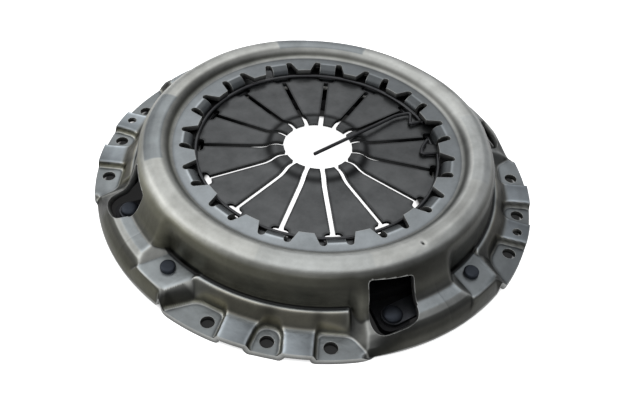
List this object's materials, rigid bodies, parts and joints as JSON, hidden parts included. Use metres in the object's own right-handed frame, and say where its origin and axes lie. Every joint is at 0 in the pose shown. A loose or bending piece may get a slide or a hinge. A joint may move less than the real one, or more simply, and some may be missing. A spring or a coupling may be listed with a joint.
{
  "type": "clutch cover assembly",
  "caption": "Clutch cover assembly: pressed steel cover with diaphragm spring, wire pivot rings, cast pressure plate and riveted strap packs",
  "frame": {"origin": "centre of the bolt circle on the face that bolts to the flywheel", "axes": "+Z from the flywheel to the release bearing; +X through the first bolt hole; +Y a quarter turn on"},
  "size_m": [0.39, 0.39, 0.055],
  "materials": {
    "cover_steel": "satin, lightly mottled",
    "spring_steel": "dark heat-treated",
    "wire_steel": "drawn wire",
    "plate_iron": "cast with turned faces",
    "strap_steel": "rolled spring strip",
    "rivet_steel": "phosphated"
  },
  "bodies": {
    "cover_group": {"cover": "cover_steel", "diaphragm_spring": "spring_steel", "pivot_ring_upper": "wire_steel", "pivot_ring_lower": "wire_steel", "strap_1_leaf_1": "strap_steel", "strap_1_leaf_2": "strap_steel", "strap_1_leaf_3": "strap_steel", "cover_rivet_1": "rivet_steel", "strap_2_leaf_1": "strap_steel", "strap_2_leaf_2": "strap_steel", "strap_2_leaf_3": "strap_steel", "cover_rivet_2": "rivet_steel", "strap_3_leaf_1": "strap_steel", "strap_3_leaf_2": "strap_steel", "strap_3_leaf_3": "strap_steel", "cover_rivet_3": "rivet_steel", "strap_4_leaf_1": "strap_steel", "strap_4_leaf_2": "strap_steel", "strap_4_leaf_3": "strap_steel", "cover_rivet_4": "rivet_steel"},
    "plate_group": {"pressure_plate": "plate_iron", "lug_rivet_1": "rivet_steel", "lug_rivet_2": "rivet_steel", "lug_rivet_3": "rivet_steel", "lug_rivet_4": "rivet_steel"}
  },
  "joints": [
    {"name": "plate_slide", "type": "slide", "parent": "cover_group", "child": "plate_group", "axis": [0, 0, 1], "range_m": [0, 0.006], "stiffness_N_per_m": 200000, "deforming": ["diaphragm_spring", "strap_1_leaf_1", "strap_1_leaf_2", "strap_1_leaf_3", "strap_2_leaf_1", "strap_2_leaf_2", "strap_2_leaf_3", "strap_3_leaf_1", "strap_3_leaf_2", "strap_3_leaf_3", "strap_4_leaf_1", "strap_4_leaf_2", "strap_4_leaf_3"]}
  ]
}
